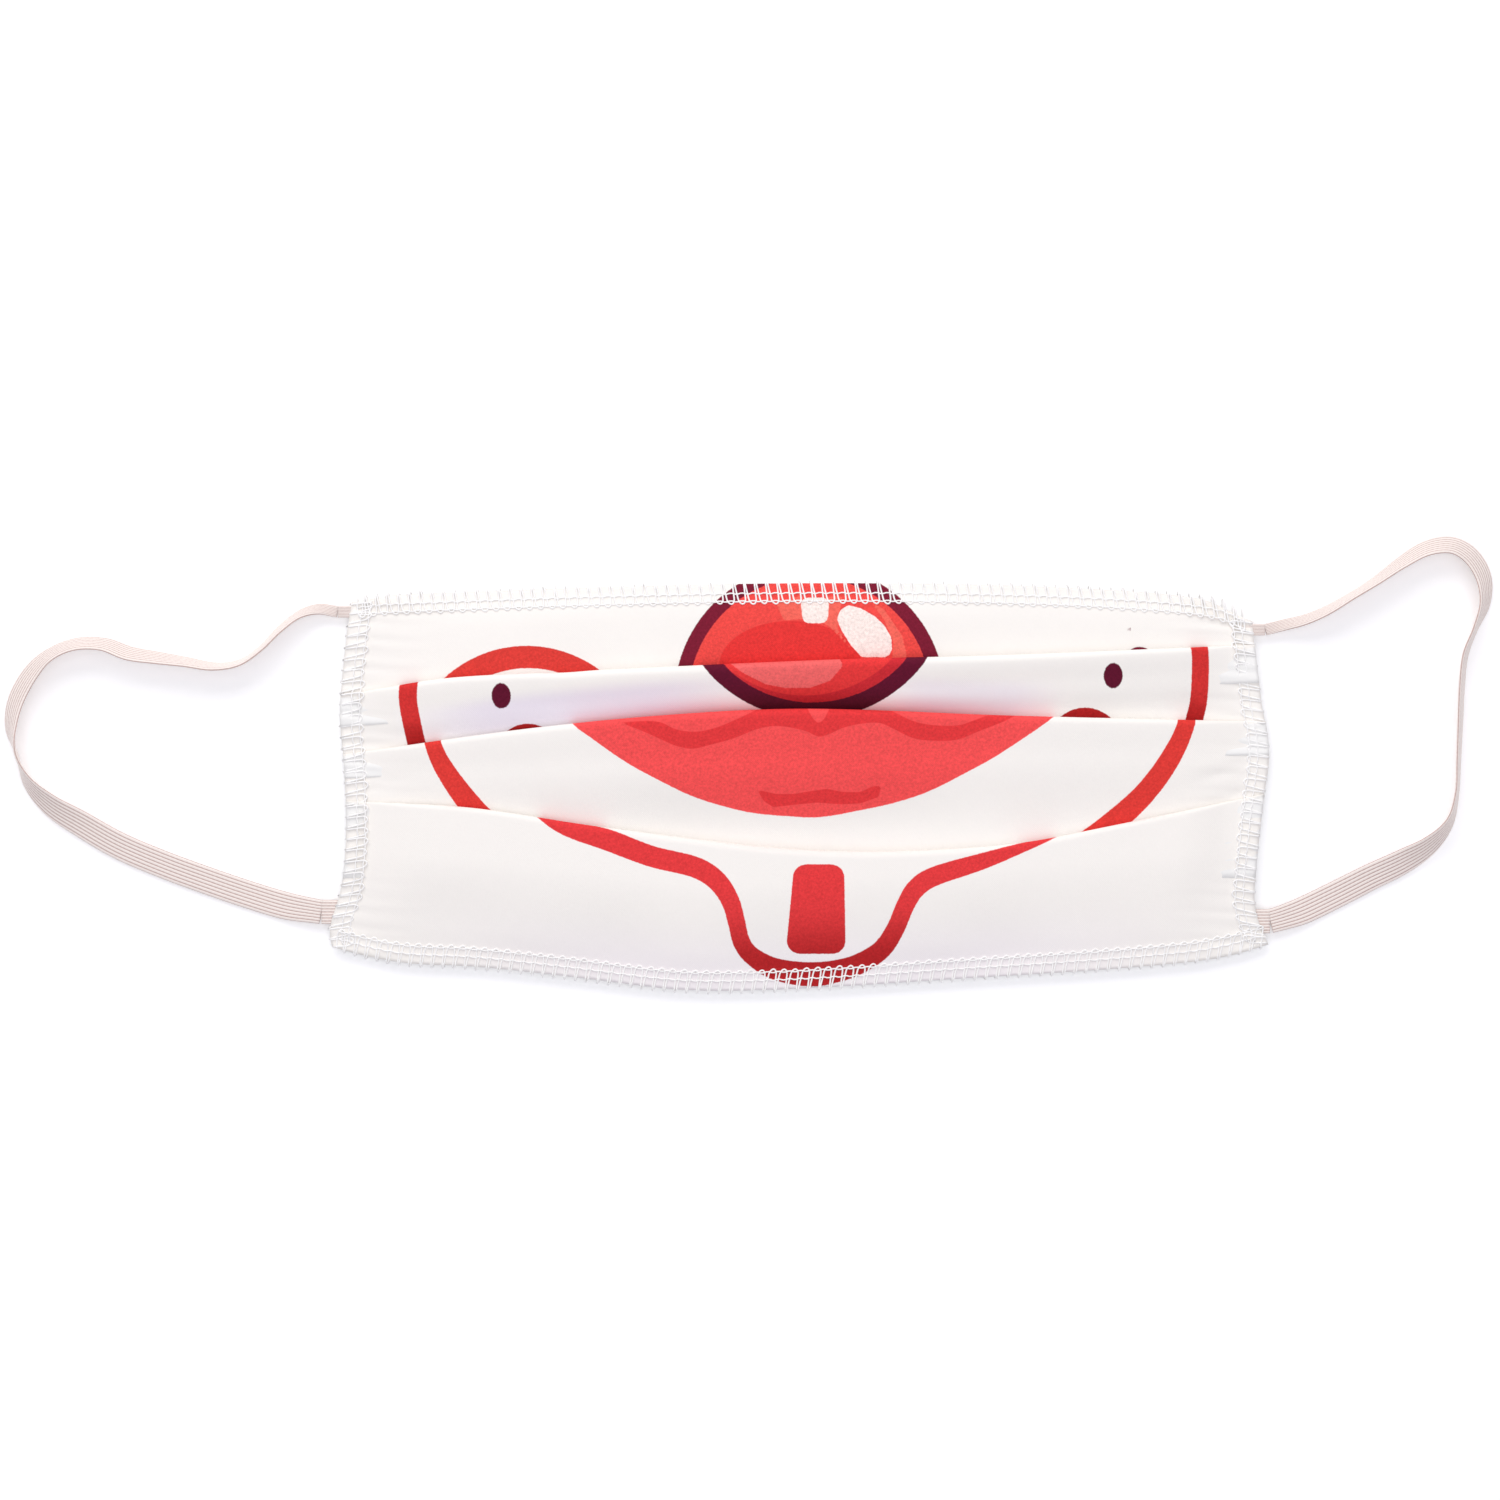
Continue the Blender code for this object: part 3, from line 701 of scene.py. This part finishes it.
def cloth_surface_group():
    """Plain weave, slubs and fine fluff: a height for the bump and a slow mottle for the colour."""
    tree = bpy.data.node_groups.new("woven_cotton", "ShaderNodeTree")
    tree.interface.new_socket("Threads per metre", in_out="INPUT", socket_type="NodeSocketFloat")
    tree.interface.new_socket("Height", in_out="OUTPUT", socket_type="NodeSocketFloat")
    tree.interface.new_socket("Mottle", in_out="OUTPUT", socket_type="NodeSocketFloat")
    start, finish = tree.nodes.new("NodeGroupInput"), tree.nodes.new("NodeGroupOutput")
    place = add_node(tree, "ShaderNodeTexCoord")
    split = add_node(tree, "ShaderNodeSeparateXYZ")
    tree.links.new(place.outputs["Object"], split.inputs[0])
    waves = []
    for axis in ("X", "Y"):
        scaled = add_node(tree, "ShaderNodeMath", operation="MULTIPLY")
        tree.links.new(split.outputs[axis], scaled.inputs[0])
        tree.links.new(start.outputs[0], scaled.inputs[1])
        wave = add_node(tree, "ShaderNodeMath", operation="SINE")
        tree.links.new(scaled.outputs[0], wave.inputs[0])
        waves.append(wave)
    weave = add_node(tree, "ShaderNodeMath", operation="MULTIPLY")
    for i, wave in enumerate(waves):
        tree.links.new(wave.outputs[0], weave.inputs[i])
    fluff = add_node(tree, "ShaderNodeTexNoise")
    fluff.inputs["Scale"].default_value = 1700
    fluff.inputs["Detail"].default_value = 4
    tree.links.new(place.outputs["Object"], fluff.inputs["Vector"])
    height = add_node(tree, "ShaderNodeMath", operation="MULTIPLY_ADD")
    height.inputs[1].default_value = 0.5
    tree.links.new(weave.outputs[0], height.inputs[0])
    tree.links.new(fluff.outputs["Fac"], height.inputs[2])
    tree.links.new(height.outputs[0], finish.inputs["Height"])
    slub = add_node(tree, "ShaderNodeTexNoise")
    slub.inputs["Scale"].default_value = 1800
    slub.inputs["Detail"].default_value = 5
    slub.inputs["Roughness"].default_value = 0.7
    tree.links.new(place.outputs["Object"], slub.inputs["Vector"])
    tree.links.new(slub.outputs["Fac"], finish.inputs["Mottle"])
    return tree


def ink_group():
    """Lays one ink over a colour inside its outline, whose edge creeps a little, and darkens the ink with
    painted shade.
    """
    tree = bpy.data.node_groups.new("printed_ink", "ShaderNodeTree")
    inputs = [
        ("Under", "NodeSocketColor"), ("Ink", "NodeSocketColor"), ("Inside", "NodeSocketFloat"),
        ("Mottle", "NodeSocketFloat"), ("Dusk", "NodeSocketFloat"),
    ]
    for name, kind in inputs:
        tree.interface.new_socket(name, in_out="INPUT", socket_type=kind)
    tree.interface.new_socket("Colour", in_out="OUTPUT", socket_type="NodeSocketColor")
    start, finish = tree.nodes.new("NodeGroupInput"), tree.nodes.new("NodeGroupOutput")
    creep = add_node(tree, "ShaderNodeMath", operation="MULTIPLY_ADD")
    creep.inputs[1].default_value = 0.35
    tree.links.new(start.outputs["Mottle"], creep.inputs[0])
    tree.links.new(start.outputs["Inside"], creep.inputs[2])
    cover = add_node(tree, "ShaderNodeMapRange", interpolation_type="SMOOTHSTEP")
    cover.inputs["From Min"].default_value = 0.08
    cover.inputs["From Max"].default_value = 0.30
    tree.links.new(creep.outputs[0], cover.inputs["Value"])
    fleck = add_node(tree, "ShaderNodeMapRange")
    for socket, value in (("From Min", 0.3), ("From Max", 0.7), ("To Min", 0.80), ("To Max", 1.20)):
        fleck.inputs[socket].default_value = value
    tree.links.new(start.outputs["Mottle"], fleck.inputs["Value"])
    tinted = add_node(tree, "ShaderNodeVectorMath", operation="SCALE")
    tree.links.new(start.outputs["Ink"], tinted.inputs[0])
    tree.links.new(fleck.outputs[0], tinted.inputs["Scale"])
    laid = add_node(tree, "ShaderNodeMix", data_type="RGBA")
    tree.links.new(cover.outputs[0], laid.inputs["Factor"])
    tree.links.new(start.outputs["Under"], laid.inputs["A"])
    # Painted shade: the ink is multiplied darker as far as the shade input asks.
    dark = add_node(tree, "ShaderNodeMix", data_type="RGBA", blend_type="MULTIPLY")
    dark.inputs["B"].default_value = (0.58, 0.38, 0.40, 1)
    tree.links.new(start.outputs["Dusk"], dark.inputs["Factor"])
    tree.links.new(tinted.outputs[0], dark.inputs["A"])
    tree.links.new(dark.outputs["Result"], laid.inputs["B"])
    tree.links.new(laid.outputs["Result"], finish.inputs["Colour"])
    return tree


woven_cotton = cloth_surface_group()
printed_ink = ink_group()
THREADS = 2 * math.pi / (0.42 * MM)
# Multiply colours of the painted lavender shade, and of the painted pink of reflected red light with shade.
PAINTED_TINTS = [("cool", (0.88, 0.84, 0.97, 1)), ("warm", (0.86, 0.62, 0.66, 1))]  # soft shade, carried as colour


def cotton_material(name, colour, inks):
    """Matt cotton with its weave, tinted with painted shade by its tones when it carries inks, and the inks
    laid over it in order.
    """
    material, shader = shader_of(name)
    tree = material.node_tree
    weave = add_node(tree, "ShaderNodeGroup", node_tree=woven_cotton)
    weave.inputs[0].default_value = THREADS
    plain = add_node(tree, "ShaderNodeMix", data_type="RGBA")
    plain.inputs["A"].default_value = [c * 0.965 for c in colour[:3]] + [1]
    plain.inputs["B"].default_value = colour
    tree.links.new(weave.outputs["Mottle"], plain.inputs["Factor"])
    last = plain.outputs["Result"]
    # Painted shade and painted reflected red light, multiplied into the cloth's colour.
    for tone, tint in PAINTED_TINTS if inks else []:
        value = add_node(tree, "ShaderNodeAttribute", attribute_name="tone_" + tone)
        tinted = add_node(tree, "ShaderNodeMix", data_type="RGBA", blend_type="MULTIPLY")
        tinted.inputs["B"].default_value = tint
        tree.links.new(value.outputs["Fac"], tinted.inputs["Factor"])
        tree.links.new(last, tinted.inputs["A"])
        last = tinted.outputs["Result"]
    # Painted shade, which darkens each ink.
    dusk = add_node(tree, "ShaderNodeAttribute", attribute_name="tone_dusk")
    for ink, tint in inks:
        value = add_node(tree, "ShaderNodeAttribute", attribute_name="ink_" + ink)
        layer = add_node(tree, "ShaderNodeGroup", node_tree=printed_ink)
        layer.inputs["Ink"].default_value = linear(*tint)
        tree.links.new(last, layer.inputs["Under"])
        tree.links.new(value.outputs["Fac"], layer.inputs["Inside"])
        tree.links.new(weave.outputs["Mottle"], layer.inputs["Mottle"])
        tree.links.new(dusk.outputs["Fac"], layer.inputs["Dusk"])
        last = layer.outputs["Colour"]
    tree.links.new(last, shader.inputs["Base Color"])
    bump = add_node(tree, "ShaderNodeBump")
    bump.inputs["Strength"].default_value = 0.30
    bump.inputs["Distance"].default_value = 0.00012
    tree.links.new(weave.outputs["Height"], bump.inputs["Height"])
    tree.links.new(bump.outputs["Normal"], shader.inputs["Normal"])
    shader.inputs["Roughness"].default_value = 0.86
    shader.inputs["Specular IOR Level"].default_value = 0.12
    return material


WHITE_COTTON = linear(250, 246, 240)
upper_cotton = cotton_material("printed_cotton_nose", WHITE_COTTON, [
    ("ring", (124, 28, 50)), ("nose", (238, 76, 70)), ("nose_deep", (228, 56, 54)),
    ("nose_pale", (242, 104, 90)), ("shine", (250, 234, 226)), ("band", (219, 62, 55)),
])
# Its maroon ring, and a little its reds, are darker than the same inks on the nose panel: painted shade of
# the strip, which slopes down into the middle fold.
strip_cotton = cotton_material("printed_cotton_strip", WHITE_COTTON, [
    ("ring", (96, 18, 44)), ("nose", (230, 58, 58)), ("nose_deep", (204, 44, 52)),
    ("nose_pale", (240, 104, 102)), ("band", (214, 52, 50)),
])
middle_cotton = cotton_material("printed_cotton_lips", WHITE_COTTON, [
    ("lips", (246, 82, 82)), ("lips_deep", (228, 58, 60)), ("band", (224, 60, 54)),
])
chin_cotton = cotton_material("printed_cotton_chin", WHITE_COTTON, [("band", (228, 60, 62))])


def pleat_weights(piece, grid, pleat, turned_rows):
    """Bakes the piece's placement into its mesh. Where a pleat would lift and its share in the middle of the
    mask are worked out but not used.
    """
    x, y = grid[:, :, 0], grid[:, :, 1]
    hinge = hinges[pleat](x)
    lifted = smoothstep(-0.5, 3.5, y - hinge)
    lifted[:turned_rows] = smoothstep(0, 4.0, y[:turned_rows] - hinge[:turned_rows])
    middle = 1 - smoothstep(62, 94, np.abs(x))
    low, high = (0, float(hinge.mean()) * MM, 0), (0, float(folds[pleat](0.0)) * MM, 0)
    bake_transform(piece)


def give_thickness(piece):
    wall = piece.modifiers.new("cloth", "SOLIDIFY")
    wall.thickness = CLOTH * MM
    wall.offset = 0


def declare_cloth(piece, nodes):
    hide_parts(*nodes)
    give_thickness(piece)


HEM_INSET = 0.4  # from the outer face of a seam to the raw edge of the cloth in it


def top_hem(x):
    return top_edge(x) - HEM_INSET


def bottom_hem(x):
    return bottom_edge(x) + HEM_INSET


# the pleat, its panel, the cloth under and over it, the line it ends at, the radius of its folded edge, its
# rows under, round and past that edge, its print and its cotton
PLEATS = [
    ("upper_pleat", "strip_panel", upper_height, strip_height, hinges["middle_pleat"], 1.5, (14, 9, 30),
     inks_and_painted_shade_of_strip, strip_cotton),
    ("middle_pleat", "middle_panel", strip_height, middle_height, hinges["chin_pleat"], 1.3, (16, 9, 52),
     inks_of_middle, middle_cotton),
    ("chin_pleat", "chin_panel", middle_height, chin_height, bottom_hem, 1.2, (14, 9, 50),
     inks_and_painted_shade_of_chin, chin_cotton),
]

nose_rows = flat_rows(hinges["upper_pleat"], top_hem, upper_height, 40)
nose_panel, nose_grid = cloth_mesh("nose_panel_fabric", nose_rows, upper_cotton)
print_on(nose_panel, nose_grid, inks_of_upper, 0, None)
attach(nose_panel, "mask_body")
declare_cloth(nose_panel, ["upper_panel_outer"])

for pleat, panel, under, over, low, radius, counts, inks, cotton in PLEATS:
    rows = pleat_rows(pleat, under, over, low, radius, 0.0, counts)
    cloth, grid = cloth_mesh(pleat + "_fabric", rows, cotton)
    turned = counts[0] + counts[1] // 2
    print_on(cloth, grid, inks, turned, pleat)
    declare_cloth(cloth, [pleat + "_outer", panel + "_outer"])
    pleat_weights(cloth, grid, pleat, turned)


# Lining. Plain white cotton cut and pleated with the outer fabric and caught in the same seams. It shows only
# from the wearer's side, and it lies just inside every fold of the outer fabric.

LINING_DEPTH = 0.45
white_lining = cotton_material("white_lining", linear(246, 245, 242), [])


def lining_height(x, y):
    """The lining of the nose panel."""
    return upper_height(x, y) - LINING_DEPTH


nose_rows = flat_rows(hinges["upper_pleat"], top_hem, lining_height, 20)
nose_lining, lining_grid = cloth_mesh("nose_panel_lining", nose_rows, white_lining)
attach(nose_lining, "mask_body")
declare_cloth(nose_lining, ["upper_panel_lining"])
for pleat, panel, under, over, low, radius, counts, *_ in PLEATS:
    rows = pleat_rows(pleat, under, over, low, radius, LINING_DEPTH, counts)
    lining, grid = cloth_mesh(pleat + "_lining_fabric", rows, white_lining)
    declare_cloth(lining, [pleat + "_lining", panel + "_lining"])
    pleat_weights(lining, grid, pleat, counts[0] + counts[1] // 2)


# Overlock seams. Four white spun polyester threads. Two needle threads run along the seam, an upper looper
# lies in scallops on the face and a lower looper on the back, and the loopers lock round the raw edge.

STITCH = 2.42
THREAD_RADIUS = 0.2
BITE = 4.7
THREAD_SIDES = 6
SLANT = 0.36  # share of a stitch that a looper leans by between the raw edge and its far turn
PROUD = 0.45  # share of its lift that is left once a thread has sunk into the cloth
BACK_DROP = 2.2  # from the face of the cloth down to the threads on its back
BACK_LOWEST = 0.25
RAW_EDGE_HEIGHT = 1.1  # of the line along which the loopers lock
wobble = np.random.default_rng(7)


def thread_material():
    material, shader = shader_of("overlock_thread")
    tree = material.node_tree
    place = add_node(tree, "ShaderNodeTexCoord")
    fluff = add_node(tree, "ShaderNodeTexNoise")
    fluff.inputs["Scale"].default_value = 2400
    fluff.inputs["Detail"].default_value = 4
    tree.links.new(place.outputs["Object"], fluff.inputs["Vector"])
    tint = add_node(tree, "ShaderNodeMix", data_type="RGBA")
    tint.inputs["A"].default_value = linear(248, 246, 243)
    tint.inputs["B"].default_value = linear(255, 254, 253)
    tree.links.new(fluff.outputs["Fac"], tint.inputs["Factor"])
    tree.links.new(tint.outputs["Result"], shader.inputs["Base Color"])
    bump = add_node(tree, "ShaderNodeBump")
    bump.inputs["Strength"].default_value = 0.4
    bump.inputs["Distance"].default_value = 0.0001
    tree.links.new(fluff.outputs["Fac"], bump.inputs["Height"])
    tree.links.new(bump.outputs["Normal"], shader.inputs["Normal"])
    shader.inputs["Roughness"].default_value = 0.62
    return material


def tube(points, radius):
    """Rings of points round a line, for one thread."""
    along = np.gradient(points, axis=0)
    along /= np.linalg.norm(along, axis=1)[:, None] + 1e-9
    steady = np.where(np.abs(along[:, 2:3]) > 0.9, [[1.0, 0, 0]], [[0, 0, 1.0]])
    sideways = np.cross(along, steady)
    sideways /= np.linalg.norm(sideways, axis=1)[:, None]
    lifted = np.cross(sideways, along)
    turn = np.linspace(0, 2 * math.pi, THREAD_SIDES, endpoint=False)
    beside = sideways[:, None, :] * np.cos(turn)[None, :, None]
    around = beside + lifted[:, None, :] * np.sin(turn)[None, :, None]
    return (points[:, None, :] + radius * around).reshape(-1, 3)


def threads(name, lines, material):
    points, faces, start = [], [], 0
    for line, radius in lines:
        rings = tube(line, radius)
        points.append(rings)
        faces += [[n + start for n in face] for face in ring_faces(len(line), THREAD_SIDES)]
        start += len(rings)
    return mesh_object(name, np.vstack(points), faces, material)


def overlock_seam(word, rail, run, inward, raggedness):
    """rail(s) is the raw edge at s mm along it. The loopers wrap it, the needles run along."""
    count = int(run / STITCH)
    pitch = run / count
    slant = SLANT * pitch

    def at(s, reach, lift):
        """A point s along and reach in from the edge, on the face, or on the back if lift is below zero."""
        x, y = rail(np.clip(s, 0, run))
        x, y = x + inward[0] * reach, y + inward[1] * reach
        top = panel_top(x, y) + CLOTH / 2
        height = top + PROUD * lift if lift >= 0 else max(BACK_LOWEST, top - BACK_DROP)
        return np.array([x, y, height])

    lines = []
    for back in (False, True):
        sign = -1 if back else 1
        looper = []
        for i in range(count):
            s = i * pitch + wobble.normal(0, 0.03 * raggedness) * pitch
            deep = BITE + wobble.normal(0, 0.08 * raggedness)
            scallop = (
                (0.10, 0.25), (0.13, 1.4), (0.17, 2.8), (0.20, deep - 0.75), (0.33, deep - 0.12),
                (0.52, deep + 0.12), (0.71, deep - 0.12), (0.84, deep - 0.75), (0.88, 2.8), (0.92, 1.4),
                (0.95, 0.25),
            )
            for share, reach in scallop:
                lean = slant * (1 - reach / BITE)
                looper.append(at(s + share * pitch - lean, reach, sign * THREAD_RADIUS))
            edge = at(s + pitch - slant, 0.0, THREAD_RADIUS)
            for axis in (0, 1):
                edge[axis] -= inward[axis] * (0.25 + 0.1 * raggedness * wobble.random())
            edge[2] = RAW_EDGE_HEIGHT
            looper.append(edge)
        lines.append((catmull(looper, 2), THREAD_RADIUS * 0.95))
    along = np.linspace(0.3, run - 0.3, count * 4)
    for reach in (BITE - 0.45, 2.55):
        dip = 0.14 * np.cos(along / pitch * 2 * math.pi)
        on_face = [at(s, reach + d, THREAD_RADIUS * 1.5) for s, d in zip(along, dip)]
        on_back = [at(s, reach, -1) for s in along]
        lines += [(np.array(on_face), THREAD_RADIUS * 0.8), (np.array(on_back), THREAD_RADIUS * 0.8)]
    made = threads(word + "_overlock_threads", lines, overlock_thread)
    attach(made, "mask_body")
    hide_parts(word + "_overlock")


def edge_rail(points):
    """(rail, run): places along an edge by distance, and its whole length."""
    runs = np.concatenate([[0], np.cumsum(np.linalg.norm(np.diff(points, axis=0), axis=1))])
    return (lambda s: (np.interp(s, runs, points[:, 0]), np.interp(s, runs, points[:, 1]))), runs[-1]


overlock_thread = thread_material()
# each seam, its raw edge, the two ends of it, the points along it, the way in from it and how ragged it is
SEAMS = [
    ("top", top_edge, left_x[-1] + 1, right_x[-1] - 1, 200, (0, -1), 0.6),
    ("bottom", bottom_edge, left_x[0] + 1, right_x[0] - 1, 200, (0, 1), 0.6),
    ("left", left_edge, left_y[0] + 0.5, left_y[-1] - 0.5, 100, (1, 0), 1.6),
    ("right", right_edge, right_y[0] + 0.5, right_y[-1] - 0.5, 100, (-1, 0), 1.6),
]
for word, edge_line, start, end, count, inward, raggedness in SEAMS:
    along = np.linspace(start, end, count)
    points = np.stack([along, edge_line(along)], axis=1)
    if inward[0]:
        points = points[:, ::-1]
    rail, run = edge_rail(points)
    overlock_seam(word, rail, run, inward, raggedness)
